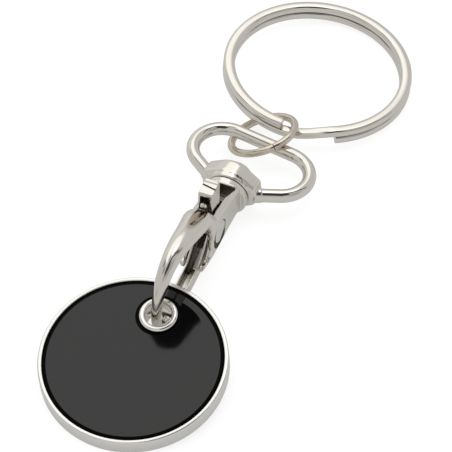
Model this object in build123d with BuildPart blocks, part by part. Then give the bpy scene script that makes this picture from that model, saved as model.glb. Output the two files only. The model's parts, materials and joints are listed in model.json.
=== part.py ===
from build123d import *
import os
from math import acos, atan2, ceil, cos, degrees, hypot, pi, radians, sin, sqrt, tan

# Coin holder keyring: a trolley token on a trigger hook, with a swivel loop, a jump ring and a key ring.
# While it is modelled, +Y runs along the hook from the token to the key ring, +Z is up, z = 0 is the
# table and x = y = 0 is under the front of the hook's flange. The last lines move the origin to the
# middle of the whole keyring's footprint. Lengths are in millimetres and angles in degrees.

# Shared
cut_over = 3.0              # how far a cut runs past the face that it opens
touch_gap = 0.15            # between resting pieces of different bodies
running_gap = 0.05          # between a pin, barrel or stem and its hole

# Token, the size of a 1 euro coin
coin_diameter = 23.25
coin_thickness = 2.33
rim_width = 0.57
recess_depth = 0.35
enamel_below_rim = 0.08
coin_edge_round = 0.2
coin_tilt = 9.1
coin_yaw = 5.4
eyelet_from_centre = 6.75

# Eyelet through the token
bore_radius = 1.65
barrel_wall = 0.2
lip_radius = 2.42
lip_height = 0.42
washer_thickness = 0.25
turn_over_radius = 2.12
turn_over_height = 0.2

# Hook
axis_height = 3.875         # table to the swivel's axis
flange_radius = 2.9
flange_thickness = 0.8
hook_reach = 21.75          # flange to the eyelet
hook_rise = 6.3             # swivel axis to the middle of the arm's highest stretch
arm_half_width = 1.75
arm_crown_height = 1.25     # middle of the arm to its domed top
arm_belly_depth = 0.95      # middle of the arm down to its flatter underside
arm_sway = 0.35             # the nose end stands this far to one side
body_depth = 2.0            # swivel axis down to the underside of the cheeks
body_rise = 3.1             # swivel axis up to the top of the cheeks
cheek_length = 11.3
cheek_half_width = 1.95
cheek_end_radius = 0.5
cheek_waist = 8.75          # flange to the upright part of the cheeks' front
cheek_waist_height = 2.7    # underside of the cheeks up to where that part begins
cheek_front_lean = 0.2      # how far the front leans back to the arm
floor_length = 5.7
floor_thickness = 0.65
back_wall = 0.9
slot_length = 7.0           # flange to the front of the thumb lever's slot
roof_height = 2.4           # swivel axis to the roof over the gate
pocket_half_width = 1.7     # at the flange; it narrows to the slot
pocket_length = 2.6
pocket_wall = 0.3
pocket_floor = 0.2          # swivel axis up to the pocket's floor
nose_lip_length = 0.75
nose_notch_length = 2.25
nose_notch_height = 1.75
gate_end_gap = 0.22         # between the gate's end and the nose
gate_rest_gap = 0.08        # between the gate's heel and the nose's lip
cheek_corner_share = 0.5    # corner radius of the cheeks' sections, of their half width

# Gate and thumb lever, folded from one strip
sheet = 0.28
gate_half_width = 0.92
gate_side_gap = 0.14
gate_stop = 2.85            # eyelet back to the gate's end
gate_drop = 3.45            # pivot down to the gate's underside
gate_heel = 0.2             # the gate's end is stepped up by this much
hub_radius = 1.5
hub_top_share = 0.8
hub_open_share = 1.4        # how far behind the pivot the channel is open, of the hub's radius
lever_back = 2.15           # pivot back to the lever's rear face
lever_height = 6.85
lever_corner = 0.35

# Pivot pin
pivot_out = 6.0             # flange to the pivot
pivot_up = 0.6              # swivel axis up to the pivot
pin_radius = 0.55
pin_head_radius = 1.55
pin_head_thickness = 0.28
pin_head_dome = 0.06
pin_dimple_radius = 0.3
pin_head_spread = 1.88      # middle to the pin head's outer face

# Gate spring
spring_wire = 0.24
spring_radius = 0.85        # middle of the coil's wire
spring_pitch = 0.7
spring_reach = 5.3          # pivot to the end of the leg on the gate
spring_tail = 4.2           # pivot to the end of the leg on the floor

# Swivel
collar_radius = 3.15
collar_length = 2.5
collar_round = 0.5
collar_lean = 6.95          # it hangs a little askew on its stem, as the loop does
lug_spread = 3.75
lug_half_height = 1.3
lug_round = 0.7
stem_radius = 1.4
stem_head_radius = 1.95
stem_head_height = 0.45

# Wire loop
loop_wire_radius = 0.875
loop_bar_half = 3.95
loop_lobe_radius = 4.0
loop_bar_out = 8.6          # swivel centre to the bar
loop_exit_angle = 30.0
loop_lead_in = 2.94
loop_roll = 2.3
loop_pitch = -4.6
loop_root = 2.6             # flange front to the point that the loop is set out from
loop_aside = 0.3

# Jump ring
jump_radius = 4.2
jump_wire_radius = 0.5
jump_aside = -0.977         # from the middle of the loop's bar to the ring's middle
jump_out = 1.611
jump_drop = 0.385
jump_x_slope_share = -0.45
jump_y_slope_share = 0.18
jump_gap = 0.15
jump_gap_angle = -45.0

# Key ring: one flat wire wound twice round
ring_outer_radius = 12.5
ring_wire_width = 1.5
ring_wire_height = 0.92
ring_turn_gap = 0.43
ring_corner = 0.3
ring_hang_angle = 258.9     # where round the key ring the jump ring holds it
ring_hang_aside = 0.128     # from the jump ring's middle to there
ring_hang_out = 2.24
ring_x_slope_share = 0.07
ring_y_slope_share = 0.06
ring_upper_cut_angle = 266.5
ring_lower_cut_angle = 301.5
ring_turn_arcs = 4          # pairs of arcs in each turn

# Worked out from the sizes above
coin_radius = coin_diameter / 2
pivot_height = axis_height + pivot_up
gate_length = hook_reach - pivot_out - gate_stop
collar_slope = tan(radians(collar_lean))
collar_half = collar_length / 2
collar_shift = collar_half * collar_slope
collar_middle = flange_thickness + touch_gap + (flange_radius + collar_shift) * collar_slope + collar_half
collar_hole_radius = stem_radius + running_gap + collar_shift
stem_length = collar_middle + collar_half + stem_head_radius * collar_slope + touch_gap - flange_thickness
barrel_radius = bore_radius + barrel_wall
enamel_radius = coin_radius - rim_width
enamel_face = coin_thickness / 2 - enamel_below_rim
web_half = coin_thickness / 2 - recess_depth
lip_base = enamel_face + running_gap
coin_hole_radius = barrel_radius + running_gap
slot_half_width = gate_half_width + gate_side_gap
floor_top = axis_height - body_depth + floor_thickness
gate_underside = pivot_height - gate_drop


def leaning_plane(x, y, z, slope_x, slope_y):
    """A plane through a point, whose normal leans by the two slopes."""
    normal = Vector(slope_x, slope_y, 1).normalized()
    return Plane(origin=(x, y, z), x_dir=Vector(0, 1, 0).cross(normal), z_dir=normal)


def biarc(start, start_way, end, end_way):
    """Two arcs that join two points and leave and arrive along the given directions."""
    start, end = Vector(*start), Vector(*end)
    start_way, end_way = Vector(*start_way).normalized(), Vector(*end_way).normalized()
    span = end - start
    ways = start_way + end_way
    a = 2 * (1 - start_way.dot(end_way))
    b = 2 * span.dot(ways)
    c = -span.dot(span)
    reach = (-b + sqrt(b * b - 4 * a * c)) / (2 * a)
    first = start + start_way * reach
    second = end - end_way * reach
    middle = (first + second) / 2
    TangentArc(start, middle, tangent=start_way)
    TangentArc(middle, end, tangent=second - first)


# The token lies with its far edge on the table and its eyelet end raised.
coin_height = coin_radius * sin(radians(coin_tilt)) + coin_thickness / 2 * cos(radians(coin_tilt))
centre_back = eyelet_from_centre * cos(radians(coin_yaw))
centre_aside = eyelet_from_centre * sin(radians(coin_yaw))
eyelet_height = coin_height + centre_back * sin(radians(coin_tilt))
coin_normal = Vector(0, -sin(radians(coin_tilt)), cos(radians(coin_tilt)))
coin_plane = Plane(origin=(0, -hook_reach, eyelet_height), x_dir=(1, 0, 0), z_dir=coin_normal)
coin_centre = (-centre_aside, -centre_back)

with BuildPart() as coin_body:
    with BuildSketch(coin_plane.offset(-coin_thickness / 2)):
        with Locations(coin_centre):
            Circle(coin_radius)
    extrude(amount=coin_thickness)
    fillet(coin_body.edges().filter_by(GeomType.CIRCLE), coin_edge_round)
    for face_side in (1, -1):
        with BuildSketch(coin_plane.offset(face_side * coin_thickness / 2)):
            with Locations(coin_centre):
                Circle(enamel_radius)
        extrude(amount=-face_side * recess_depth, mode=Mode.SUBTRACT)
    with BuildSketch(coin_plane.offset(-coin_thickness)):
        Circle(coin_hole_radius)
    extrude(amount=2 * coin_thickness, mode=Mode.SUBTRACT)
coin_body.part.label = "coin_body"

with BuildPart() as enamel_front:
    with BuildSketch(coin_plane.offset(web_half)):
        with Locations(coin_centre):
            Circle(enamel_radius)
        Circle(coin_hole_radius, mode=Mode.SUBTRACT)
    extrude(amount=enamel_face - web_half)
enamel_front.part.label = "enamel_front"

with BuildPart() as enamel_back:
    with BuildSketch(coin_plane.offset(-enamel_face)):
        with Locations(coin_centre):
            Circle(enamel_radius)
        Circle(coin_hole_radius, mode=Mode.SUBTRACT)
    extrude(amount=enamel_face - web_half)
enamel_back.part.label = "enamel_back"

# The eyelet's section is drawn in a plane through its axis: across is the radius, up is the axis.
eyelet_section = Plane(origin=coin_plane.origin, x_dir=coin_plane.x_dir, z_dir=-coin_plane.y_dir)
eyelet_axis = Axis(coin_plane.origin, coin_normal)
washer_base = -lip_base - washer_thickness

with BuildPart() as eyelet_barrel:
    with BuildSketch(eyelet_section):
        with BuildLine():
            Line((bore_radius, washer_base - turn_over_height), (bore_radius, lip_base))
            lip = ThreePointArc(
                (bore_radius, lip_base),
                ((bore_radius + lip_radius) / 2, lip_base + lip_height),
                (lip_radius, lip_base),
            )
            Line(lip @ 1, (barrel_radius, lip_base))
            Line((barrel_radius, lip_base), (barrel_radius, washer_base))
            Line((barrel_radius, washer_base), (turn_over_radius, washer_base))
            Line((turn_over_radius, washer_base), (barrel_radius, washer_base - turn_over_height))
            Line(
                (barrel_radius, washer_base - turn_over_height),
                (bore_radius, washer_base - turn_over_height),
            )
        make_face()
    revolve(axis=eyelet_axis)
eyelet_barrel.part.label = "eyelet_barrel"

with BuildPart() as eyelet_washer:
    with BuildSketch(coin_plane.offset(washer_base)):
        Circle(lip_radius)
        Circle(barrel_radius, mode=Mode.SUBTRACT)
    extrude(amount=washer_thickness)
eyelet_washer.part.label = "eyelet_washer"

# The arm and nose: sections along a curve, each a dome over a flatter belly.
# Each row: shares of the reach, the rise, the sway, the half width and the crown.
arm_station_shares = (
    (0.18, 0.22, 0.0, 0.84, 0.62),
    (0.36, 0.66, 0.0, 1.08, 1.00),
    (0.49, 0.89, 0.1, 1.00, 1.00),
    (0.63, 1.00, 0.35, 0.84, 0.94),
    (0.755, 1.02, 0.7, 0.70, 0.86),
    (0.865, 0.91, 0.9, 0.57, 0.78),
    (0.945, 0.68, 1.0, 0.47, 0.70),
    (0.987, 0.38, 1.0, 0.39, 0.63),
    (1.0, 0.0, 1.0, 0.36, 0.60),
    (0.975, -0.27, 1.0, 0.35, 0.56),
    (0.915, -0.41, 1.0, 0.35, 0.50),
    (0.84, -0.43, 1.0, 0.35, 0.48),
)

with BuildLine() as arm_line:
    arm_curve = Spline(
        [
            Vector(-aside * arm_sway, -out * hook_reach, axis_height + up * hook_rise)
            for out, up, aside, wide, high in arm_station_shares
        ]
    )

# The cheeks' sections: shares of their length, their half width and the body's rise.
cheek_station_shares = (
    (0.0, 1.1, 0.92),
    (0.25, 1.03, 1.0),
    (0.55, 1.0, 1.3),
    (0.82, 0.95, 1.5),
    (1.05, 0.76, 1.5),
)

with BuildPart() as hook_body:
    # cheeks: rounded sections that narrow towards the front
    cheek_low = axis_height - body_depth
    for out, wide, high in cheek_station_shares:
        cheek_high = axis_height + high * body_rise
        cheek_middle = (0, -out * cheek_length, (cheek_low + cheek_high) / 2)
        with BuildSketch(Plane(origin=cheek_middle, x_dir=(1, 0, 0), z_dir=(0, -1, 0))):
            half_width = wide * cheek_half_width
            RectangleRounded(2 * half_width, cheek_high - cheek_low, cheek_corner_share * half_width)
    loft()
    # the front of the cheeks: a low round toe, then a hollow up to the arm
    with BuildSketch(Plane.YZ):
        with BuildLine():
            toe_low = (cheek_end_radius - cheek_length, cheek_low)
            toe_high = (toe_low[0], cheek_low + 2 * cheek_end_radius)
            waist = (-cheek_waist, cheek_low + cheek_waist_height)
            apex = (cheek_front_lean - cheek_waist, axis_height + hook_rise)
            Line((cut_over, toe_low[1]), toe_low)
            TangentArc(toe_low, toe_high, tangent=(-1, 0))
            TangentArc(waist, toe_high, tangent=(0, -1))
            Line(waist, apex)
            Line(apex, (cut_over, apex[1]))
            Line((cut_over, apex[1]), (cut_over, toe_low[1]))
        make_face()
    extrude(amount=2 * cheek_half_width, both=True, mode=Mode.INTERSECT)
    # flange
    with BuildSketch(Plane(origin=(0, flange_thickness, axis_height), x_dir=(1, 0, 0), z_dir=(0, -1, 0))):
        Circle(flange_radius)
    extrude(amount=flange_thickness)
    # arm and nose
    for out, up, aside, wide, high in arm_station_shares:
        place = Vector(-aside * arm_sway, -out * hook_reach, axis_height + up * hook_rise)
        along = arm_curve.tangent_at(arm_curve.param_at_point(place))
        with BuildSketch(Plane(origin=place, x_dir=Vector(0, along.Z, -along.Y).cross(along), z_dir=along)):
            with BuildLine():
                EllipticalCenterArc((0, 0), wide * arm_half_width, high * arm_crown_height, 0, arc_size=180)
                EllipticalCenterArc((0, 0), wide * arm_half_width, high * arm_belly_depth, 180, arc_size=180)
            make_face()
    loft()
    # the gate's channel, and the slot that the thumb lever stands in
    with BuildSketch(Plane.YZ):
        with BuildLine():
            Polyline(
                (-floor_length, -cut_over),
                (-floor_length, floor_top),
                (-back_wall, floor_top),
                (-back_wall, axis_height + 2 * hook_rise),
                (-slot_length, axis_height + 2 * hook_rise),
                (-slot_length, axis_height + roof_height),
                (-cheek_length - cheek_end_radius, axis_height + roof_height),
                (-cheek_length - cheek_end_radius, -cut_over),
                close=True,
            )
        make_face()
    extrude(amount=slot_half_width, both=True, mode=Mode.SUBTRACT)
    # the pocket round the back of the lever
    with BuildSketch(Plane.XY.offset(axis_height + pocket_floor)):
        with BuildLine():
            Polyline(
                (-pocket_half_width, -pocket_wall),
                (pocket_half_width, -pocket_wall),
                (slot_half_width, -pocket_length),
                (-slot_half_width, -pocket_length),
                close=True,
            )
        make_face()
    extrude(amount=hook_rise, mode=Mode.SUBTRACT)
    # pin hole and the seats of its heads
    pivot_plane = Plane(origin=(0, -pivot_out, pivot_height), x_dir=(0, 1, 0), z_dir=(1, 0, 0))
    with BuildSketch(pivot_plane):
        Circle(pin_radius + running_gap)
    extrude(amount=cut_over, both=True, mode=Mode.SUBTRACT)
    for head_side in (1, -1):
        with BuildSketch(pivot_plane.offset(head_side * (pin_head_spread - pin_head_thickness))):
            Circle(pin_head_radius + running_gap)
        extrude(amount=head_side * cut_over, mode=Mode.SUBTRACT)
    # the nose's end, cut back so that the gate's end sits on its lip
    with BuildSketch(Plane.YZ):
        with Locations((-pivot_out - gate_length - gate_end_gap, gate_underside + gate_heel - gate_rest_gap)):
            Rectangle(nose_notch_length, nose_notch_height, align=(Align.MIN, Align.MIN))
    extrude(amount=arm_half_width, both=True, mode=Mode.SUBTRACT)
    # stem with its riveted head
    stem_plane = Plane(origin=(0, flange_thickness, axis_height), x_dir=(-1, 0, 0), z_dir=(0, 1, 0))
    with BuildSketch(stem_plane):
        Circle(stem_radius)
    extrude(amount=stem_length)
    with BuildSketch(stem_plane.offset(stem_length)):
        Circle(stem_head_radius)
    extrude(amount=stem_head_height)
hook_body.part.label = "hook_body"

# The pin is a rivet whose heads sit flush in the cheeks.
with BuildPart() as pivot_pin:
    with BuildSketch(pivot_plane):
        Circle(pin_radius)
    extrude(amount=pin_head_spread - pin_head_thickness, both=True)
    for head_side in (1, -1):
        with BuildSketch(pivot_plane.offset(head_side * (pin_head_spread - pin_head_thickness))):
            Circle(pin_head_radius)
        extrude(amount=head_side * pin_head_thickness)
        rim = pivot_pin.faces().sort_by(Axis.X)[-1 if head_side > 0 else 0].edges()
        fillet(rim, pin_head_dome)
        with BuildSketch(pivot_plane.offset(head_side * pin_head_spread)):
            Circle(pin_dimple_radius)
        extrude(amount=-head_side * pin_head_dome, mode=Mode.SUBTRACT)
pivot_pin.part.label = "pivot_pin"

# The gate is drawn from the pivot: across is the way to its end, up is up.
gate_plane = Plane(origin=pivot_plane.origin, x_dir=(0, -1, 0), z_dir=(-1, 0, 0))
gate_outline_shares = (
    (-0.07, -0.35),
    (0.155, -0.64),
    (0.35, -1.0),
    (1.0, -1.0),
    (1.0, -0.61),
    (0.38, -0.565),
    (0.2, -0.06),
    (0.11, 0.26),
)
lever_outline_shares = (
    (-0.55, 0.1),
    (-0.95, 0.3),
    (-1.0, 0.97),
    (-0.6, 1.0),
    (0.26, 0.975),
    (0.31, 0.73),
    (0.12, 0.42),
    (0.5, 0.13),
)
gate_outline = [(out * gate_length, up * gate_drop) for out, up in gate_outline_shares]
lever_outline = [(out * lever_back, up * lever_height) for out, up in lever_outline_shares]
lever_roof_shares = (0.97, 0.88)
lever_web = -lever_back + sheet
hub_top = hub_top_share * hub_radius
hub_open = hub_open_share * hub_radius
lever_top = lever_height - sheet
web_slope = atan2(gate_outline[2][1] - gate_outline[1][1], gate_outline[2][0] - gate_outline[1][0])
web_rise = sheet / cos(web_slope)

with BuildPart() as gate_lever:
    with BuildSketch(gate_plane):
        with BuildLine():
            Polyline(*gate_outline, close=True)
        make_face()
        with BuildSketch(mode=Mode.PRIVATE) as lever_shape:
            with BuildLine():
                Polyline(*lever_outline, close=True)
            make_face()
            fillet(lever_shape.vertices(), lever_corner)
        add(lever_shape.sketch)
        Circle(hub_radius)
    extrude(amount=gate_half_width, both=True)
    # folded to a channel: open over the gate, open at the front of the lever
    with BuildSketch(gate_plane):
        with BuildLine():
            Polyline(
                (-hub_open, -gate_drop - cut_over),
                (gate_outline[0][0], -gate_drop - cut_over),
                (gate_outline[0][0], gate_outline[0][1] + web_rise),
                (gate_outline[1][0], gate_outline[1][1] + web_rise),
                (gate_outline[2][0], sheet - gate_drop),
                (2 * gate_length, sheet - gate_drop),
                (2 * gate_length, hub_top),
                (-hub_open, hub_top),
                close=True,
            )
        make_face()
        with BuildLine():
            Polyline(
                (lever_web, hub_top),
                (lever_web, lever_top * lever_roof_shares[0]),
                (lever_back, lever_top * lever_roof_shares[1]),
                (lever_back, hub_top),
                close=True,
            )
        make_face()
    extrude(amount=gate_half_width - sheet, both=True, mode=Mode.SUBTRACT)
    # the stepped end that rests on the hook's nose
    with BuildSketch(gate_plane):
        with Locations((gate_length - nose_lip_length, -gate_drop - cut_over)):
            Rectangle(gate_length, cut_over + gate_heel, align=(Align.MIN, Align.MIN))
    extrude(amount=gate_half_width, both=True, mode=Mode.SUBTRACT)
    with BuildSketch(gate_plane):
        with Locations((gate_length - nose_lip_length, -gate_drop)):
            Rectangle(gate_length, gate_drop, align=(Align.MIN, Align.MIN))
    extrude(amount=gate_half_width - sheet, both=True, mode=Mode.SUBTRACT)
    with BuildSketch(gate_plane):
        Circle(pin_radius + running_gap)
    extrude(amount=gate_half_width, both=True, mode=Mode.SUBTRACT)
gate_lever.part.label = "gate_lever"

# The spring winds once and a fifth round the pin: one leg presses on the gate's web, the other on the floor.
leg_out = (spring_reach, sheet + spring_wire / 2 + running_gap - gate_drop)
leg_back = (-spring_tail, floor_top + spring_wire / 2 + running_gap - pivot_height)
coil_start = atan2(leg_out[1], leg_out[0]) + acos(spring_radius / hypot(*leg_out))
coil_end = atan2(leg_back[1], leg_back[0]) - acos(spring_radius / hypot(*leg_back)) + 2 * pi
while coil_end < coil_start + 2 * pi:
    coil_end += 2 * pi
coil_turns = (coil_end - coil_start) / (2 * pi)
coil_width = spring_pitch * coil_turns
quarter_turns = ceil(4 * coil_turns)


def coil_point(angle):
    """The middle of the spring's wire at an angle round the pin."""
    aside = coil_width * ((angle - coil_start) / (coil_end - coil_start) - 1 / 2)
    return Vector(
        aside,
        -pivot_out - spring_radius * cos(angle),
        pivot_height + spring_radius * sin(angle),
    )


def coil_way(angle):
    """The wire's direction there: it runs in the legs' planes at both ends of the coil."""
    at_end = angle in (coil_start, coil_end)
    lead = 0 if at_end else coil_width / (coil_end - coil_start)
    return Vector(lead, spring_radius * sin(angle), spring_radius * cos(angle))


with BuildLine() as spring_path:
    Line(Vector(-coil_width / 2, -pivot_out - leg_out[0], pivot_height + leg_out[1]), coil_point(coil_start))
    coil_angles = [coil_start + (coil_end - coil_start) * k / quarter_turns for k in range(quarter_turns)]
    coil_angles.append(coil_end)
    for first_angle, next_angle in zip(coil_angles, coil_angles[1:]):
        biarc(coil_point(first_angle), coil_way(first_angle), coil_point(next_angle), coil_way(next_angle))
    Line(coil_point(coil_end), Vector(coil_width / 2, -pivot_out - leg_back[0], pivot_height + leg_back[1]))

with BuildPart() as gate_spring:
    with BuildSketch(Plane(origin=spring_path.wire() @ 0, z_dir=spring_path.wire() % 0)):
        Circle(spring_wire / 2)
    sweep(path=spring_path.wire())
gate_spring.part.label = "gate_spring"

# The collar turns on the stem: a round body with two flats on each side down to the loop's lugs.
collar_axis = Vector(0, 1, 0).rotate(Axis.Z, -collar_lean)
collar_front = Vector(0, collar_middle, axis_height) - collar_axis * collar_half
collar_across = Vector(-1, 0, 0).rotate(Axis.Z, -collar_lean)
collar_plane = Plane(origin=collar_front, x_dir=collar_across, z_dir=collar_axis)
flat_angle = atan2(lug_half_height, lug_spread) + acos(collar_radius / hypot(lug_half_height, lug_spread))
flat_start = (collar_radius * cos(flat_angle), collar_radius * sin(flat_angle))
lug_corner = (lug_spread, lug_half_height)

# The loop's own plane, which leans and rolls a little where it has settled in the collar.
loop_x = Vector(1, 0, 0).rotate(Axis.Y, loop_roll).rotate(Axis.X, loop_pitch).rotate(Axis.Z, -collar_lean)
loop_z = Vector(0, 0, 1).rotate(Axis.Y, loop_roll).rotate(Axis.X, loop_pitch).rotate(Axis.Z, -collar_lean)
loop_plane = Plane(origin=(loop_aside, loop_root, axis_height), x_dir=loop_x, z_dir=loop_z)

with BuildLine(loop_plane) as loop_path:
    Line((-loop_bar_half, loop_bar_out), (loop_bar_half, loop_bar_out))
    ends = []
    for side in (1, -1):
        lobe = JernArc(
            start=(side * loop_bar_half, loop_bar_out),
            tangent=(side, 0),
            radius=loop_lobe_radius,
            arc_size=-side * (180 - loop_exit_angle),
        )
        lead = Line(lobe @ 1, lobe @ 1 + (lobe % 1) * loop_lead_in)
        ends.append((lead @ 1, lead % 1))

with BuildPart() as swivel_collar:
    with BuildSketch(collar_plane) as collar_shape:
        Circle(collar_radius)
        with BuildLine():
            Polyline(
                lug_corner,
                flat_start,
                (-flat_start[0], flat_start[1]),
                (-lug_corner[0], lug_corner[1]),
                (-lug_corner[0], -lug_corner[1]),
                (-flat_start[0], -flat_start[1]),
                (flat_start[0], -flat_start[1]),
                (lug_corner[0], -lug_corner[1]),
                close=True,
            )
        make_face()
        lug_corners = [corner for corner in collar_shape.vertices() if abs(corner.X) > collar_radius]
        fillet(lug_corners, lug_round)
    extrude(amount=collar_length)
    for end_face in (swivel_collar.faces().sort_by(Axis.Y)[0], swivel_collar.faces().sort_by(Axis.Y)[-1]):
        fillet(end_face.edges(), collar_round)
    with BuildSketch(collar_plane):
        Circle(collar_hole_radius)
    extrude(amount=collar_length, mode=Mode.SUBTRACT)
    for end_point, end_way in ends:
        with BuildSketch(Plane(origin=end_point, z_dir=-end_way)):
            Circle(loop_wire_radius + running_gap)
        extrude(amount=cut_over, mode=Mode.SUBTRACT)
swivel_collar.part.label = "swivel_collar"

with BuildPart() as loop_wire:
    with BuildSketch(Plane(origin=ends[0][0], z_dir=ends[0][1])):
        Circle(loop_wire_radius)
    sweep(path=loop_path.wire())
loop_wire.part.label = "loop_wire"

# The jump ring is a round wire with its cut ends closed up over the loop's bar.
bar_middle = loop_plane.from_local_coords(Vector(0, loop_bar_out, 0))
jump_middle = bar_middle + Vector(jump_aside, jump_out, -jump_drop)
jump_plane = leaning_plane(*jump_middle, jump_x_slope_share, jump_y_slope_share)
gap_angle = degrees(jump_gap / jump_radius)
with BuildLine(jump_plane) as jump_path:
    CenterArc((0, 0), jump_radius, jump_gap_angle + gap_angle / 2, 360 - gap_angle)
with BuildPart() as jump_ring:
    with BuildSketch(Plane(origin=jump_path.wire() @ 0, z_dir=jump_path.wire() % 0)):
        Circle(jump_wire_radius)
    sweep(path=jump_path.wire())
jump_ring.part.label = "jump_ring"

# The key ring: its lower turn climbs to the upper one between the two cut ends.
ring_radius = ring_outer_radius - ring_wire_width / 2
ring_pitch = ring_wire_height + ring_turn_gap
ring_x = jump_middle.X + ring_hang_aside - ring_radius * cos(radians(ring_hang_angle))
ring_y = jump_middle.Y + ring_hang_out - ring_radius * sin(radians(ring_hang_angle))
ring_normal = Vector(ring_x_slope_share, ring_y_slope_share, 1).normalized()
ring_half_height = (ring_pitch + ring_wire_height) / 2
ring_z = ring_outer_radius * sqrt(1 - ring_normal.Z ** 2) + ring_half_height * ring_normal.Z
ring_plane = leaning_plane(ring_x, ring_y, ring_z, ring_x_slope_share, ring_y_slope_share)


def ring_point(angle, up):
    """A point on the key ring's middle line, at an angle round it and a height over its middle."""
    place = Vector(ring_radius * cos(radians(angle)), ring_radius * sin(radians(angle)), up)
    return ring_plane.from_local_coords(place)


def ring_way(angle):
    """The wire's direction there."""
    way = Vector(-sin(radians(angle)), cos(radians(angle)), 0)
    return ring_plane.from_local_coords(way) - ring_plane.origin


lower_turn = (ring_lower_cut_angle, ring_upper_cut_angle + 360)
upper_turn = (ring_lower_cut_angle + 360, ring_upper_cut_angle + 720)
with BuildLine() as ring_path:
    for turn, up in ((lower_turn, -ring_pitch / 2), (upper_turn, ring_pitch / 2)):
        angles = [turn[0] + (turn[1] - turn[0]) * k / ring_turn_arcs for k in range(ring_turn_arcs + 1)]
        for first_angle, next_angle in zip(angles, angles[1:]):
            start, end = ring_point(first_angle, up), ring_point(next_angle, up)
            biarc(start, ring_way(first_angle), end, ring_way(next_angle))
    biarc(
        ring_point(lower_turn[1], -ring_pitch / 2),
        ring_way(lower_turn[1]),
        ring_point(upper_turn[0], ring_pitch / 2),
        ring_way(upper_turn[0]),
    )

with BuildPart() as split_ring:
    start_radial = ring_point(lower_turn[0], 0) - ring_plane.origin
    with BuildSketch(Plane(origin=ring_path.wire() @ 0, x_dir=start_radial, z_dir=ring_path.wire() % 0)):
        RectangleRounded(ring_wire_width, ring_wire_height, ring_corner)
    sweep(path=ring_path.wire())
split_ring.part.label = "split_ring"


def least_gap(path, apart, thickness):
    """The least gap between stretches of one wire that lie further apart along it than the given length."""
    steps = 400
    points = [path @ (k / steps) for k in range(steps + 1)]
    reach = int(apart / path.length * steps) + 1
    gaps = [(points[a] - points[b]).length for a in range(steps) for b in range(a + reach, steps + 1)]
    return min(gaps) - thickness


print("gate spring, least gap to itself:", least_gap(spring_path.wire(), pi * spring_radius, spring_wire))
print("key ring, least gap between turns:", least_gap(ring_path.wire(), pi * ring_radius, ring_wire_height))

# The origin goes to the table under the middle of the whole keyring.
pieces = (
    coin_body, enamel_front, enamel_back, eyelet_barrel, eyelet_washer, hook_body, pivot_pin, gate_lever,
    gate_spring, swivel_collar, loop_wire, jump_ring, split_ring,
)
whole = pieces[0].part.bounding_box()
for piece in pieces:
    whole = whole.add(piece.part.bounding_box())
seat = Location((-whole.center().X, -whole.center().Y, -whole.min.Z))
print("whole size", whole.size, "moved by", seat.position)
os.makedirs("parts", exist_ok=True)
for piece in pieces:
    export_step(piece.part.moved(seat), f"parts/{piece.part.label}.step")
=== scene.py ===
import bpy
import json
import math
from mathutils import Matrix, Vector

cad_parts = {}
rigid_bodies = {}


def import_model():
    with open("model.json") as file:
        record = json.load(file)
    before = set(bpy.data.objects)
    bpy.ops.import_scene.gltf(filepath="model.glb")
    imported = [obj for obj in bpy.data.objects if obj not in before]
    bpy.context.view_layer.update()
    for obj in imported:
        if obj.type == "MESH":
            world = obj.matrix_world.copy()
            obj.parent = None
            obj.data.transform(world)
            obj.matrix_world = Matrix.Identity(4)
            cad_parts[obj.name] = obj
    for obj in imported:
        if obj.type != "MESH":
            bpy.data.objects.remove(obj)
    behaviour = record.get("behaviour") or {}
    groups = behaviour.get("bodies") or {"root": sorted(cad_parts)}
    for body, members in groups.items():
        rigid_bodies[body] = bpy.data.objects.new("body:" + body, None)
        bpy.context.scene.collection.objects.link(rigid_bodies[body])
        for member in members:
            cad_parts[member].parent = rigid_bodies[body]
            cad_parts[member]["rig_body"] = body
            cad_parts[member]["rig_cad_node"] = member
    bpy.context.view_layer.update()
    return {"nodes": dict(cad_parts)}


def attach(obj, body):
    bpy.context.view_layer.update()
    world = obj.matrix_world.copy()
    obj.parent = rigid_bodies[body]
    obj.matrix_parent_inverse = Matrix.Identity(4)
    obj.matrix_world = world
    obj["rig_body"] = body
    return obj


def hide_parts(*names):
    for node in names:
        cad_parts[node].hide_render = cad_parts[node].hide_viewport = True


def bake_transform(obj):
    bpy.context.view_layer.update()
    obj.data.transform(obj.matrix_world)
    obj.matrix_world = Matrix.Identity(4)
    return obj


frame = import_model()

# Pieces are worked in millimetres, with the table at z = 0, +Y from the token to the key ring and x = y = 0
# under the hook's flange, and then set into the frame in metres.
mm = 0.001
frameShift = Vector((-1.5077, 0.500669, -0.026275))
sideways, lengthways, upward = Vector((1, 0, 0)), Vector((0, 1, 0)), Vector((0, 0, 1))
axisHeight = 3.875   # from the table to the swivel's axis
pole = 0.01   # radius at which a turned profile closes on its axis
wallSlack = 0.005   # how far off a cut's wall a face still counts as on it
levelSlack = 0.01   # the same for a cut's floor or edge


# Bench tools

def letGo():
    if bpy.context.object and bpy.context.object.mode != "OBJECT":
        bpy.ops.object.mode_set(mode="OBJECT")
    bpy.ops.object.select_all(action="DESELECT")


def pickUp(piece):
    letGo()
    piece.select_set(True)
    bpy.context.view_layer.objects.active = piece


def workOn(piece):
    pickUp(piece)
    bpy.ops.object.mode_set(mode="EDIT")
    bpy.ops.mesh.select_all(action="SELECT")


def startPiece(name, addPrimitive, **sizes):
    letGo()
    addPrimitive(location=(0, 0, 0), **sizes)
    piece = bpy.context.object
    piece.name = name
    return piece


def useTool(piece, kind, **settings):
    pickUp(piece)
    tool = piece.modifiers.new(kind.lower(), kind)
    for key, value in settings.items():
        setattr(tool, key, value)
    bpy.ops.object.modifier_apply(modifier=tool.name)


def planeAt(origin, across, normal):
    across, normal = Vector(across).normalized(), Vector(normal).normalized()
    up = normal.cross(across)
    turn = Matrix((across, up, normal)).transposed().to_4x4()
    return Matrix.Translation(Vector(origin)) @ turn


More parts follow.
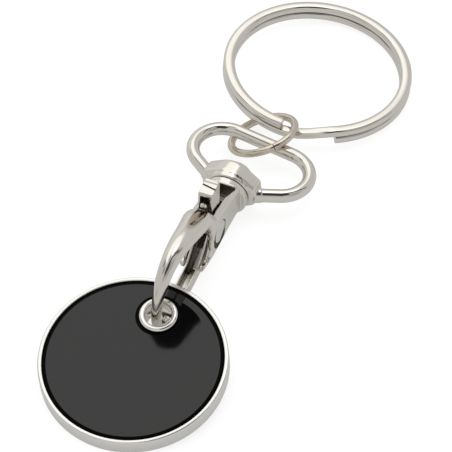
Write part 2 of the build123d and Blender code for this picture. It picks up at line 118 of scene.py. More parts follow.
def rodTurn(way):   # turns a rod that stands on Z to lie along a way
    return way.to_track_quat("Z", "Y").to_matrix().to_4x4()


def acrossFrom(step, axis):   # how far a step leads away from an axis
    return (step - axis * step.dot(axis)).length


def setDown(piece, place):
    pickUp(piece)
    piece.matrix_world = place @ piece.matrix_world
    bpy.ops.object.transform_apply(location=True, rotation=True, scale=True)


def tidyMesh(piece, mergeWithin=0.0005):
    workOn(piece)
    bpy.ops.mesh.remove_doubles(threshold=mergeWithin)
    bpy.ops.mesh.fill_holes(sides=0)
    bpy.ops.mesh.normals_make_consistent(inside=False)
    bpy.ops.object.mode_set(mode="OBJECT")


def turned(name, profile, corners):   # a round piece, turned from a ring that follows the profile
    radius, height = profile[0]
    piece = startPiece(name, bpy.ops.mesh.primitive_circle_add, vertices=corners, radius=radius)
    workOn(piece)
    bpy.ops.transform.translate(value=(0, 0, height))
    for nextRadius, nextHeight in profile[1:]:
        bpy.ops.mesh.extrude_region_move(TRANSFORM_OT_translate={"value": (0, 0, nextHeight - height)})
        share = nextRadius / radius
        bpy.ops.transform.resize(value=(share, share, 1), center_override=(0, 0, nextHeight))
        radius, height = nextRadius, nextHeight
    tidyMesh(piece)
    return piece


def arcProfile(centre, radius, start, end, steps):   # points of an arc in a profile, angles in degrees
    angles = [math.radians(start + (end - start) * k / steps) for k in range(steps + 1)]
    return [(centre[0] + radius * math.cos(a), centre[1] + radius * math.sin(a)) for a in angles]


def copyOfNode(name, node, mergeWithin=0.002):   # a merged copy of a CAD solid, in millimetres
    letGo()
    piece = frame["nodes"][node].copy()
    piece.data = piece.data.copy()
    piece.parent = None
    piece.matrix_world = Matrix.Identity(4)
    piece.name = name
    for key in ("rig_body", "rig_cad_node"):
        if key in piece:
            del piece[key]
    piece.data.materials.clear()
    bpy.context.scene.collection.objects.link(piece)
    setDown(piece, Matrix.Translation(-frameShift) @ Matrix.Scale(1 / mm, 4))
    workOn(piece)
    bpy.ops.mesh.remove_doubles(threshold=mergeWithin)
    bpy.ops.mesh.customdata_custom_splitnormals_clear()
    bpy.ops.object.mode_set(mode="OBJECT")
    return piece


def joinOn(piece, *others):   # overlapping bodies become one skin in the remesh that follows
    pickUp(piece)
    for other in others:
        other.select_set(True)
    bpy.ops.object.join()


def castSkin(piece, voxel, softening):   # one even skin over all that was joined, softened like a casting
    useTool(piece, "REMESH", mode="VOXEL", voxel_size=voxel)
    useTool(piece, "SMOOTH", factor=0.5, iterations=softening)


def softenNear(piece, spots):   # fairs the skin round each spot: (place, radius, passes)
    for place, radius, passes in spots:
        workOn(piece)
        bpy.ops.mesh.select_all(action="DESELECT")
        bpy.ops.object.mode_set(mode="OBJECT")
        near = [(corner.co - Vector(place)).length < radius for corner in piece.data.vertices]
        piece.data.vertices.foreach_set("select", near)
        bpy.ops.object.mode_set(mode="EDIT")
        bpy.ops.mesh.vertices_smooth(factor=0.5, repeat=passes)
        bpy.ops.object.mode_set(mode="OBJECT")


def roundBar(name, start, end, radius):   # a round bar with closed ends between two points
    start, end = Vector(start), Vector(end)
    piece = startPiece(name, bpy.ops.mesh.primitive_cylinder_add, vertices=48, radius=radius,
                       depth=(end - start).length)
    setDown(piece, Matrix.Translation((start + end) / 2) @ rodTurn(end - start))
    return piece


def pebble(name, centre, halfSizes, turn=None):   # an ellipsoid
    piece = startPiece(name, bpy.ops.mesh.primitive_uv_sphere_add, segments=48, ring_count=32, radius=1)
    place = Matrix.Translation(Vector(centre)) @ (turn or Matrix.Identity(4))
    setDown(piece, place @ Matrix.Diagonal((*halfSizes, 1)))
    return piece


def cutAway(piece, cutter):
    useTool(piece, "BOOLEAN", object=cutter, operation="DIFFERENCE", solver="EXACT")
    bpy.data.objects.remove(cutter)


def finishPiece(piece, body, nodes, material, smoothAngle):
    setDown(piece, Matrix.Scale(mm, 4) @ Matrix.Translation(frameShift))
    pickUp(piece)
    bpy.ops.object.shade_smooth_by_angle(angle=math.radians(smoothAngle))
    piece.data.materials.clear()
    piece.data.materials.append(material)
    if body:
        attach(piece, body)
    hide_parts(*nodes)
    letGo()


def markFaces(piece, marked, material):   # a second finish on the marked faces
    piece.data.materials.append(material)
    piece.data.polygons.foreach_set("material_index", [int(isMarked) for isMarked in marked])


# Finishes

def newMaterial(name):
    material = bpy.data.materials.new(name)
    material.use_nodes = True
    material.node_tree.nodes.clear()
    return material, material.node_tree


def feed(tree, socket, value):   # the value is a number, a colour or another node's output
    if isinstance(value, bpy.types.NodeSocket):
        tree.links.new(value, socket)
    elif socket.type == "RGBA":
        socket.default_value = (*value, 1)
    else:
        socket.default_value = value


def addNode(tree, kind, settings=None, **sockets):
    node = tree.nodes.new(kind)
    for key, value in (settings or {}).items():
        setattr(node, key, value)
    for key, value in sockets.items():
        feed(tree, node.inputs[key.replace("_", " ")], value)
    return node


def combine(tree, kind, settings, *values):   # feeds a node's inputs in their order
    node = addNode(tree, kind, settings)
    for socket, value in zip(node.inputs, values):
        feed(tree, socket, value)
    return node.outputs[0]


def calculate(tree, operation, *values):
    return combine(tree, "ShaderNodeMath", {"operation": operation}, *values)


def mixColours(tree, share, first, second):
    mix = addNode(tree, "ShaderNodeMix", {"data_type": "RGBA"}, Factor=share)
    feed(tree, mix.inputs[6], first)
    feed(tree, mix.inputs[7], second)
    return mix.outputs[2]


def mixNumbers(tree, share, first, second):
    mix = addNode(tree, "ShaderNodeMix", {"data_type": "FLOAT"}, Factor=share)
    feed(tree, mix.inputs[2], first)
    feed(tree, mix.inputs[3], second)
    return mix.outputs[0]


def spread(tree, value, low, high, start=0.0, end=1.0, kind="LINEAR"):   # start to end becomes low to high
    node = addNode(tree, "ShaderNodeMapRange", {"interpolation_type": kind}, Value=value, From_Min=start,
                   From_Max=end, To_Min=low, To_Max=high)
    return node.outputs["Result"]


def noise(tree, **settings):   # a pattern that stays with the piece
    place = addNode(tree, "ShaderNodeTexCoord").outputs["Object"]
    return addNode(tree, "ShaderNodeTexNoise", Vector=place, **settings).outputs["Fac"]


def bump(tree, height, strength, distance, **under):
    node = addNode(tree, "ShaderNodeBump", Height=height, Strength=strength, Distance=distance, **under)
    return node.outputs["Normal"]


def addShader(tree, **sockets):
    shader = addNode(tree, "ShaderNodeBsdfPrincipled", **sockets)
    addNode(tree, "ShaderNodeOutputMaterial", Surface=shader.outputs["BSDF"])


def nickelPlate(name, look):
    material, tree = newMaterial(name)
    cloud = noise(tree, Scale=look["cloudScale"], Detail=look["cloudDetail"], Roughness=look["cloudRough"])
    grain = noise(tree, Scale=look["grainScale"], Detail=look["grainDetail"], Roughness=look["grainRough"])
    # tone: a little warmer in patches, with painted shade darkening tight corners, the contact between pieces
    # and the hollows by their occlusion, and darker brown along the hook's groove
    skin = mixColours(tree, cloud, look["bright"], look["warm"])
    # painted shade: the occlusion mixes the corner and hollow colours into the tone
    for depth in ("corner", "hollow"):
        sunk = addNode(tree, "ShaderNodeAmbientOcclusion", {"samples": 8, "only_local": depth == "hollow"},
                       Distance=look[depth + "Reach"])
        openness = spread(tree, sunk.outputs["AO"], 0.0, 1.0, look[depth + "Full"], look[depth + "From"])
        skin = mixColours(tree, openness, look[depth], skin)
    grooveShare = addNode(tree, "ShaderNodeAttribute", {"attribute_name": "grooveTone"}).outputs["Fac"]
    skin = mixColours(tree, grooveShare, skin, look["grooveTone"])
    # roughness: polished with a faint cloudiness, and unpolished deep in the hollows
    polish = spread(tree, grain, look["roughLow"], look["roughHigh"], look["grainLow"], look["grainHigh"])
    rough = mixNumbers(tree, openness, look["hollowRough"], polish)
    # bump: the soft waviness that polishing leaves, and fine grain under the plating
    wave = bump(tree, cloud, look["waveStrength"], look["waveDepth"])
    fine = bump(tree, grain, look["grainStrength"], look["grainDepth"], Normal=wave)
    addShader(tree, Metallic=1.0, Base_Color=skin, Roughness=rough, Normal=fine)
    return material


plateLook = {
    "bright": (0.84, 0.815, 0.765),
    "warm": (0.79, 0.755, 0.69),
    # painted shade: the colours, reaches and ranges of the darkening in tight corners and hollows
    "corner": (0.26, 0.22, 0.18),
    "cornerReach": 0.0007,
    "cornerFull": 0.1,
    "cornerFrom": 0.8,
    "hollow": (0.24, 0.2, 0.16),
    "hollowReach": 0.0032,
    "hollowFull": 0.12,
    "hollowFrom": 0.58,
    "hollowRough": 0.42,
    "grooveTone": (0.42, 0.33, 0.25),
    "cloudScale": 420.0,
    "cloudDetail": 3.0,
    "cloudRough": 0.55,
    "grainScale": 5200.0,
    "grainDetail": 4.0,
    "grainRough": 0.6,
    "grainLow": 0.3,
    "grainHigh": 0.7,
    "roughLow": 0.11,
    "roughHigh": 0.17,
    "waveStrength": 0.35,
    "waveDepth": 0.00004,
    "grainStrength": 0.12,
    "grainDepth": 0.000006,
}
wireLook = {**plateLook, "cloudScale": 300.0, "roughLow": 0.05, "roughHigh": 0.09, "waveStrength": 0.2,
            "cornerReach": 0.0004}
linkLook = {**plateLook, "bright": (0.82, 0.76, 0.67), "warm": (0.6, 0.53, 0.44), "cloudScale": 700.0,
            "roughLow": 0.05, "roughHigh": 0.09, "cornerReach": 0.0004}
# painted shade: a dark copy of the plate for the hollows round the pin's head, the pin's edge and the lever's
# crease
pitShadeLook = {**plateLook, "bright": (0.1, 0.085, 0.07), "warm": (0.06, 0.05, 0.04), "roughLow": 0.3,
           "roughHigh": 0.45}
# painted highlight: a brighter copy of the plate for the whiter highlights on the lip; painted shade: a
# darker hollow colour in the bore
eyeletHighlightLook = {**plateLook, "bright": (0.93, 0.92, 0.89), "warm": (0.88, 0.86, 0.82),
              "hollow": (0.1, 0.08, 0.06), "hollowFrom": 0.5, "waveStrength": 0.2, "roughLow": 0.08,
              "roughHigh": 0.14}
coinLook = {**plateLook, "bright": (0.89, 0.88, 0.855), "warm": (0.85, 0.835, 0.8), "roughLow": 0.16,
            "roughHigh": 0.24, "waveStrength": 0.12, "cornerReach": 0.0003}
castPlate = nickelPlate("castNickelPlate", plateLook)
wirePlate = nickelPlate("wireNickelPlate", wireLook)
linkPlate = nickelPlate("linkNickelPlate", linkLook)
pitShadePlate = nickelPlate("pitNickelPlatePaintedShade", pitShadeLook)
eyeletHighlightPlate = nickelPlate("eyeletNickelPlatePaintedHighlight", eyeletHighlightLook)
coinPlate = nickelPlate("coinNickelPlate", coinLook)


def blackEnamel(name, look):
    material, tree = newMaterial(name)
    flow = noise(tree, Scale=look["flowScale"], Detail=look["flowDetail"])
    dust = noise(tree, Scale=look["dustScale"], Detail=look["dustDetail"])
    addShader(
        tree,
        IOR=look["ior"],
        Base_Color=mixColours(tree, dust, look["deep"], look["lifted"]),
        Roughness=spread(tree, dust, look["roughLow"], look["roughHigh"]),
        Normal=bump(tree, flow, look["waveStrength"], look["waveDepth"]),
    )
    return material


enamelLook = {
    "ior": 1.52,
    "deep": (0.0015, 0.0015, 0.0016),
    "lifted": (0.003, 0.003, 0.0031),
    "flowScale": 300.0,
    "flowDetail": 1.0,
    "dustScale": 2600.0,
    "dustDetail": 2.0,
    "roughLow": 0.012,
    "roughHigh": 0.022,
    "waveStrength": 0.03,
    "waveDepth": 0.00002,
}
edgeLook = {**enamelLook, "ior": 1.12, "deep": (0.001, 0.001, 0.001), "lifted": (0.002, 0.002, 0.002),
            "roughLow": 0.35, "roughHigh": 0.5, "waveStrength": 0.06}
enamelFinish = blackEnamel("blackEnamel", enamelLook)
edgeFinish = blackEnamel("blackEnamelEdge", edgeLook)


def shadedSpringSteel(name, look):
    material, tree = newMaterial(name)
    lines = noise(tree, Scale=look["lineScale"], Detail=look["lineDetail"])
    addShader(
        tree,
        Metallic=1.0,
        Anisotropic=look["drawn"],
        Base_Color=mixColours(tree, lines, look["bright"], look["dark"]),
        Roughness=spread(tree, lines, look["roughLow"], look["roughHigh"]),
        Normal=bump(tree, lines, look["lineStrength"], look["lineDepth"]),
    )
    return material


# painted shade: the spring's colours are darkened because it lies in shade
springShadeLook = {
    "bright": (0.2, 0.18, 0.155),
    "dark": (0.11, 0.095, 0.08),
    "lineScale": 6000.0,
    "lineDetail": 3.0,
    "lineStrength": 0.2,
    "lineDepth": 0.000005,
    "drawn": 0.4,
    "roughLow": 0.22,
    "roughHigh": 0.34,
}
springShadeFinish = shadedSpringSteel("shadedSpringSteel", springShadeLook)
print("finishes mixed")


# Token

coinShape = {
    "radius": 11.625,
    "halfThickness": 1.165,
    "rimWidth": 0.52,
    "webHalf": 0.815,
    "edgeRound": 0.2,
    "innerRound": 0.1,
    "edgeSteps": 6,
    "innerSteps": 5,
    "corners": 256,
    "holeCorners": 96,
    "smoothAngle": 30,
    "tilt": 9.1,
    "yaw": 5.4,
    "eyeletFromCentre": 6.75,
    "hole": 1.9,
    "drillReach": 3.0,
    "hookReach": 21.75,   # from the hook's flange to the eyelet's middle
}
coinTilt, coinYaw = math.radians(coinShape["tilt"]), math.radians(coinShape["yaw"])
coinNormal = Vector((0, -math.sin(coinTilt), math.cos(coinTilt)))
coinBack = coinShape["eyeletFromCentre"] * math.cos(coinYaw)
coinAside = coinShape["eyeletFromCentre"] * math.sin(coinYaw)
coinHeight = coinShape["radius"] * math.sin(coinTilt) + coinShape["halfThickness"] * math.cos(coinTilt)
eyeletHeight = coinHeight + coinBack * math.sin(coinTilt)
eyeletPlace = planeAt((0, -coinShape["hookReach"], eyeletHeight), sideways, coinNormal)
coinPlace = eyeletPlace @ Matrix.Translation((-coinAside, -coinBack, 0))


def drillAtEyelet(piece, radius, start, end, corners):
    drill = turned("drill", [(radius, start), (radius, end)], corners)
    setDown(drill, eyeletPlace)
    cutAway(piece, drill)


def makeCoin(shape):
    half, outer, web = shape["halfThickness"], shape["radius"], shape["webHalf"]
    inner = outer - shape["rimWidth"]
    r, n = shape["edgeRound"], shape["innerRound"]
    top = arcProfile((outer - r, half - r), r, 0, 90, shape["edgeSteps"])
    top += arcProfile((inner + n, half - n), n, 90, 180, shape["innerSteps"])
    top += [(inner, web), (pole, web)]
    under = [(radius, -height) for radius, height in reversed(top)]
    piece = turned("token_rim", under + top, shape["corners"])
    setDown(piece, coinPlace)
    drillAtEyelet(piece, shape["hole"], -shape["drillReach"], shape["drillReach"], shape["holeCorners"])
    return piece


finishPiece(makeCoin(coinShape), "token", ["coin_body"], coinPlate, coinShape["smoothAngle"])

enamelShape = {
    **coinShape,
    "rimGap": 0.004,
    "webGap": 0.002,
    "enamelBelow": 0.09,
    "edgeDrop": 0.2,
    "edgeWidth": 0.5,
    "edgeSteps": 10,
    "holeCorners": 128,
    "crown": 0.004,   # the level face rises by this much
    "crownRun": 1.0,
    "lineRadius": 2.85,   # the ring cut round the eyelet
    "lineDrop": 0.12,
    "smoothAngle": 12,
}


def makeEnamel(name, shape, side):
    inner = shape["radius"] - shape["rimWidth"] - shape["rimGap"]
    level = shape["halfThickness"] - shape["enamelBelow"]
    low = shape["webHalf"] + shape["webGap"]
    shelf = level - shape["edgeDrop"]
    brink = inner - shape["edgeWidth"]
    profile = [(pole, low), (inner, low), (inner, shelf)]
    for k in range(1, shape["edgeSteps"] + 1):   # the edge rounds up from the rim to the level face
        t = k / shape["edgeSteps"]
        rise = shape["edgeDrop"] * math.sin(t * math.pi / 2)
        profile.append((inner - shape["edgeWidth"] * t, shelf + rise))
    crest = level + shape["crown"]
    profile += [(brink - shape["crownRun"], level + shape["crown"] / 2), (inner / 2, crest), (pole, crest)]
    piece = turned(name, [(radius, height * side) for radius, height in profile], shape["corners"])
    setDown(piece, coinPlace)
    reach = shape["drillReach"]
    for radius, start in ((shape["lineRadius"], level - shape["lineDrop"]), (shape["hole"], -reach)):
        drillAtEyelet(piece, radius, start * side, reach * side, shape["holeCorners"])
    # the matt line: the sloping edge, and the ring cut round the eyelet
    centre, hub = coinPlace.translation, eyeletPlace.translation
    onLine = []
    for face in piece.data.polygons:
        corners = [piece.data.vertices[k].co for k in face.vertices]
        outward = min(acrossFrom(corner - centre, coinNormal) for corner in corners)
        inward = max(acrossFrom(corner - hub, coinNormal) for corner in corners)
        onLine.append(outward > brink - levelSlack or inward < shape["lineRadius"] + levelSlack)
    return piece, onLine


for name, node, side in (("enamel_upper", "enamel_front", 1), ("enamel_lower", "enamel_back", -1)):
    enamelPiece, onLine = makeEnamel(name, enamelShape, side)
    finishPiece(enamelPiece, "token", [node], enamelFinish, enamelShape["smoothAngle"])
    markFaces(enamelPiece, onLine, edgeFinish)

eyeletShape = {
    "bore": 1.65,
    "wall": 0.2,
    "lipRadius": 2.42,
    "lipHeight": 0.4032,
    "lipPower": 0.8,   # under 1 the rolled lip is fuller than a half round
    "lipSteps": 12,
    "lipEdge": (0.06, 0.02),   # the lip's outer end: in from its edge and down from its base
    "front": 1.135,
    "throat": 0.6,
    # the end turned over the washer: out from the bore, and down from the washer's back
    "turnedBack": ((0.47, 0.02), (0.42, 0.12), (0.2, 0.19), (0.04, 0.15), (0.0, -0.05)),
    "washerThickness": 0.25,
    "washerGap": 0.01,
    "washerEdge": ((0.08, 0.0), (0.0, 0.32), (0.02, 0.76), (0.1, 1.0)),   # inset, and share of the thickness
    "corners": 96,
    "smoothAngle": 40,
}


def makeEyelet(shape):
    bore, base, lip = shape["bore"], shape["front"], shape["lipRadius"]
    outside = bore + shape["wall"]
    low = -base - shape["washerThickness"]
    middle, halfSpan = (bore + lip) / 2, (lip - bore) / 2
    turnedBack = [(bore + out, low - down) for out, down in shape["turnedBack"]]
    profile = [turnedBack[-1], (bore, base - shape["throat"])]
    for k in range(shape["lipSteps"] + 1):
        a = math.pi * k / shape["lipSteps"]
        rise = shape["lipHeight"] * math.sin(a) ** shape["lipPower"]
        profile.append((middle - halfSpan * math.cos(a), base + rise))
    edgeIn, edgeDown = shape["lipEdge"]
    profile += [(lip - edgeIn, base - edgeDown), (outside, base), (outside, low), *turnedBack]
    piece = turned("eyelet_lip", profile, shape["corners"])
    setDown(piece, eyeletPlace)
    return piece


def makeWasher(shape):
    base, thickness = -shape["front"], shape["washerThickness"]
    inner = shape["bore"] + shape["wall"] + shape["washerGap"]
    edge = [(shape["lipRadius"] - inset, base - share * thickness) for inset, share in shape["washerEdge"]]
    piece = turned("eyelet_back_ring", [(inner, base), *edge, (inner, base - thickness), (inner, base)],
                   shape["corners"])
    setDown(piece, eyeletPlace)
    return piece


eyeletAngle = eyeletShape["smoothAngle"]
finishPiece(makeEyelet(eyeletShape), "eyelet", ["eyelet_barrel"], eyeletHighlightPlate, eyeletAngle)
finishPiece(makeWasher(eyeletShape), "eyelet", ["eyelet_washer"], coinPlate, eyeletAngle)
print("token ready")


# Hook and its pin

pinShape = {
    "out": 6.0,
    "height": 4.475,
    "headSpread": 1.88,
    # radius, and depth below the head's top, from the shank round to the dimple
    "head": (
        (0.55, 0.28), (1.52, 0.28), (1.55, 0.24), (1.55, 0.1), (1.5, 0.045), (1.39, 0.02), (0.55, 0.004),
        (0.38, 0.03), (0.26, 0.1), (0.12, 0.15), (pole, 0.155),
    ),
    "corners": 96,
    "sideLean": 0.5,   # faces that look sideways less than this are the shank's and the head's edge
    "smoothAngle": 40,
}
pivotPlace = planeAt((0, -pinShape["out"], pinShape["height"]), lengthways, sideways)

hookShape = {
    "voxel": 0.085,
    "softening": 5,
    "grooveStart": (0.34, -7.5, 9.45),
    "grooveEnd": (0.22, -11.7, 11.0),
    "grooveRadius": 0.65,
    "grooveLift": 0.4,
    "grooveToneSize": 1.45,   # the darker brown's reach, in groove sizes
    "grooveToneFade": 0.7,
    "recessRadius": 1.95,   # the hollow round the pin's head
    "recessFloor": 1.62,
    "recessTop": 2.5,
    "recessShift": (0.0, -0.4, 0.0),
    "recessCorners": 96,
    "wallLean": 0.3,   # faces of the hollow that look sideways less than this are its wall
    # skin faired after the casting: place, radius and passes
    "spots": (
        ((0.0, -8.2, 7.9), 2.5, 24),
        ((0.0, -8.8, 8.4), 2.1, 16),
        ((0.0, -9.3, 4.4), 2.3, 30),
    ),
    "smoothAngle": 180,
}


def makeHook(shape):
    piece = copyOfNode("hook_casting", "hook_body")
    # a shallow groove runs down the arm's back from the foot of the lever
    start, end = Vector(shape["grooveStart"]), Vector(shape["grooveEnd"])
    way = (end - start).normalized()
    middle = (start + end) / 2 - Vector((0, -way.z, way.y)) * shape["grooveLift"]
    halfLength = (end - start).length / 2 + shape["grooveRadius"]
    halfSizes = Vector((shape["grooveRadius"], shape["grooveRadius"], halfLength))
    cutAway(piece, pebble("groove", middle, halfSizes, rodTurn(way)))
    castSkin(piece, shape["voxel"], shape["softening"])
    softenNear(piece, shape["spots"])
    # a round hollow in each cheek takes the pin's head
    floorAt, radius, top = shape["recessFloor"], shape["recessRadius"], shape["recessTop"]
    recessPlace = Matrix.Translation(shape["recessShift"]) @ pivotPlace
    for side in (1, -1):
        profile = [(pole, side * floorAt), (radius, side * floorAt), (radius, side * top), (pole, side * top)]
        hollow = turned("recess", profile, shape["recessCorners"])
        setDown(hollow, recessPlace)
        cutAway(piece, hollow)
    # the groove and the skin round it are coloured a darker brown
    unturn = (Matrix.Translation(middle) @ rodTurn(way)).inverted()
    reach = halfSizes * shape["grooveToneSize"]
    grooveShare = piece.data.attributes.new("grooveTone", "FLOAT", "POINT")
    for k, corner in enumerate(piece.data.vertices):
        spot = unturn @ corner.co
        away = sum((spot[n] / reach[n]) ** 2 for n in range(3))
        grooveShare.data[k].value = max(0.0, min(1.0, (1 - away) / shape["grooveToneFade"]))
    # painted shade: the hollow round the pin's head gets the dark plate
    inRecess = []
    for face in piece.data.polygons:
        near = acrossFrom(face.center - recessPlace.translation, sideways) < radius + wallSlack
        deep = abs(face.center.x)
        sunk = abs(face.normal.x) < shape["wallLean"] or deep < floorAt + levelSlack
        inRecess.append(near and sunk and deep > floorAt - levelSlack)
    return piece, inRecess


def makePin(shape):
    side = [(radius, shape["headSpread"] - depth) for radius, depth in shape["head"]]
    other = [(radius, -height) for radius, height in reversed(side)]
    piece = turned("pivot_rivet", other + side, shape["corners"])
    setDown(piece, pivotPlace)
    return piece


hookPiece, inRecess = makeHook(hookShape)
finishPiece(hookPiece, "clip", ["hook_body"], castPlate, hookShape["smoothAngle"])
markFaces(hookPiece, inRecess, pitShadePlate)
pinPiece = makePin(pinShape)
finishPiece(pinPiece, "clip", ["pivot_pin"], castPlate, pinShape["smoothAngle"])
# painted shade: the pin's shank and the head's edge get the dark plate
onEdge = [abs(face.normal.x) < pinShape["sideLean"] for face in pinPiece.data.polygons]
markFaces(pinPiece, onEdge, pitShadePlate)
print("hook ready")


# Gate

leverShape = {
    "voxel": 0.053,
    "softening": 4,
    "mouthWidth": 1.2,   # the lever's open front
    "mouthFront": -7.2,
    "mouthBack": -5.9,
    "mouthLow": 9.4,
    "mouthHigh": 10.75,
    "beadRadius": 0.45,
    "beadSpot": (-0.1, -6.75, 9.35),
    "rollRadius": 0.3,
    "rollStart": (-0.86, -4.1, 11.0),
    "rollEnd": (0.86, -4.1, 11.0),
    "creaseRadius": 0.13,
    "creaseStart": (-1.3, -5.0, 11.26),
    "creaseEnd": (1.3, -5.5, 11.22),
    "smoothAngle": 60,
}


def makeLever(shape):
    piece = copyOfNode("gate_channel", "gate_lever")
    front, back, low, high = shape["mouthFront"], shape["mouthBack"], shape["mouthLow"], shape["mouthHigh"]
    mouth = startPiece("mouth", bpy.ops.mesh.primitive_cube_add, size=1)
    middle = Matrix.Translation((0, (front + back) / 2, (low + high) / 2))
    setDown(mouth, middle @ Matrix.Diagonal((shape["mouthWidth"], back - front, high - low, 1)))
    cutAway(piece, mouth)
    roll = roundBar("roll", shape["rollStart"], shape["rollEnd"], shape["rollRadius"])
    bead = pebble("bead", shape["beadSpot"], (shape["beadRadius"],) * 3)
    joinOn(piece, roll, bead)
    castSkin(piece, shape["voxel"], shape["softening"])
    start, end, radius = Vector(shape["creaseStart"]), Vector(shape["creaseEnd"]), shape["creaseRadius"]
    cutAway(piece, roundBar("crease", start, end, radius))
    way = (end - start).normalized()
    # painted shade: the crease's faces get the dark plate
    inCrease = []
    for face in piece.data.polygons:   # the crease is dark
        inCrease.append(acrossFrom(face.center - start, way) < radius + wallSlack)
    return piece, inCrease


leverPiece, inCrease = makeLever(leverShape)
finishPiece(leverPiece, "gate", ["gate_lever"], castPlate, leverShape["smoothAngle"])
markFaces(leverPiece, inCrease, pitShadePlate)
print("gate ready")


# Swivel

def layAcross(piece, point, way, up):   # turns a wire's section to face along the wire at its start
    setDown(piece, planeAt(point, up, way))
    workOn(piece)


def runStraight(way):
    bpy.ops.mesh.extrude_region_move(TRANSFORM_OT_translate={"value": tuple(way)})


def bendRound(centre, degrees, steps, rise=0.0):   # bends the wire in its plane, and can lift it on the way
    for k in range(steps):
        bpy.ops.mesh.extrude_region_move(TRANSFORM_OT_translate={"value": (0, 0, rise / steps)})
        bpy.ops.transform.rotate(
            value=math.radians(-degrees / steps), orient_axis="Z", orient_type="GLOBAL",
            orient_matrix=((1, 0, 0), (0, 1, 0), (0, 0, 1)), center_override=tuple(centre),
        )


swivelShape = {"lean": 6.95, "roll": 2.3, "pitch": -4.6, "root": (0.3, 2.6, axisHeight)}
loopPlace = (Matrix.Translation(swivelShape["root"])
             @ Matrix.Rotation(math.radians(-swivelShape["lean"]), 4, "Z")
             @ Matrix.Rotation(math.radians(swivelShape["pitch"]), 4, "X")
             @ Matrix.Rotation(math.radians(swivelShape["roll"]), 4, "Y"))

loopShape = {
    "wire": 0.875,
    "barHalf": 3.95,
    "barOut": 8.6,
    "lobe": 4.0,
    "exit": 30.0,
    "leadIn": 2.94,
    "corners": 40,
    "bendSteps": 60,
    "smoothAngle": 50,
}


def makeLoop(shape):
    bend = 180 - shape["exit"]
    angle = math.radians(90 - bend)
    right = Vector((shape["barHalf"], shape["barOut"] - shape["lobe"], 0))
    left = Vector((-right.x, right.y, 0))
    lobeEnd = right + Vector((math.cos(angle), math.sin(angle), 0)) * shape["lobe"]
    leadWay = Vector((math.sin(angle), -math.cos(angle), 0))
    leftWay = Vector((-leadWay.x, leadWay.y, 0))
    start = lobeEnd + leadWay * shape["leadIn"]
    last = Vector((-start.x, start.y, 0))
    piece = startPiece("swivel_loop", bpy.ops.mesh.primitive_circle_add, vertices=shape["corners"],
                       radius=shape["wire"])
    layAcross(piece, start, -leadWay, upward)
    runStraight(-leadWay * shape["leadIn"])
    bendRound(right, bend, shape["bendSteps"])
    runStraight((-2 * shape["barHalf"], 0, 0))
    bendRound(left, bend, shape["bendSteps"])
    runStraight(leftWay * shape["leadIn"])
    tidyMesh(piece)
    setDown(piece, loopPlace)
    turn = loopPlace.to_3x3()
    return piece, [(loopPlace @ start, turn @ -leadWay), (loopPlace @ last, turn @ -leftWay)]


loopPiece, loopEnds = makeLoop(loopShape)
finishPiece(loopPiece, "swivel", ["loop_wire"], wirePlate, loopShape["smoothAngle"])

collarShape = {
    "voxel": 0.085,
    "softening": 26,
    "plugRadius": 0.98,
    "plugLength": 0.7,
    "plugBack": 0.4,
    "frontRadius": 3.04,
    "front": 0.86,
    "back": 2.2,
    "smoothAngle": 180,
}


def makeCollar(shape):
    piece = copyOfNode("swivel_collar_casting", "swivel_collar")
    added = []
    for end, way in loopEnds:   # the lugs close up round the wire
        plugStart, plugEnd = end - way * shape["plugBack"], end + way * shape["plugLength"]
        added.append(roundBar("plug", plugStart, plugEnd, shape["plugRadius"]))
    front, back = (0, shape["front"], axisHeight), (0, shape["back"], axisHeight)
    added.append(roundBar("front", front, back, shape["frontRadius"]))
    joinOn(piece, *added)
    castSkin(piece, shape["voxel"], shape["softening"])
    return piece


collarPiece = makeCollar(collarShape)
finishPiece(collarPiece, "swivel", ["swivel_collar"], castPlate, collarShape["smoothAngle"])
print("swivel ready")


# Rings

def leaningPlace(point, slopes):
    normal = Vector((*slopes, 1)).normalized()
    return planeAt(point, lengthways.cross(normal), normal)


def outAndOn(degrees):   # the ways out and on at an angle of a ring
    angle = math.radians(degrees)
    return Vector((math.cos(angle), math.sin(angle), 0)), Vector((-math.sin(angle), math.cos(angle), 0))


jumpShape = {
    "radius": 4.32,
    "wire": 0.5,
    "middle": (0.36, 12.72, 2.8),
    "slopes": (-0.45, 0.18),
    "gap": 0.1,
    "gapAngle": -45.0,
    "corners": 32,
    "bendSteps": 120,
    "smoothAngle": 50,
}


def makeJumpRing(shape):
    gapDegrees = math.degrees(shape["gap"] / shape["radius"])
    out, way = outAndOn(shape["gapAngle"] + gapDegrees / 2)
    piece = startPiece("jump_ring_wire", bpy.ops.mesh.primitive_circle_add, vertices=shape["corners"],
                       radius=shape["wire"])
    layAcross(piece, out * shape["radius"], way, upward)
    bendRound((0, 0, 0), 360 - gapDegrees, shape["bendSteps"])
    tidyMesh(piece)
    setDown(piece, leaningPlace(shape["middle"], shape["slopes"]))
    return piece


jumpPiece = makeJumpRing(jumpShape)
finishPiece(jumpPiece, "jump", ["jump_ring"], linkPlate, jumpShape["smoothAngle"])

ringShape = {
    "outer": 12.5,
    "width": 1.5,
    "height": 1.1,
    "turnGap": 0.07,
    "corner": 0.47,
    "cornerSteps": 5,
    "middle": (2.75, 26.49, 2.285),
    "slopes": (0.07, 0.06),
    "lowerCut": 301.5,
    "upperCut": 266.5,
    "turnSteps": 150,
    "climbSteps": 16,
    "smoothAngle": 30,
}


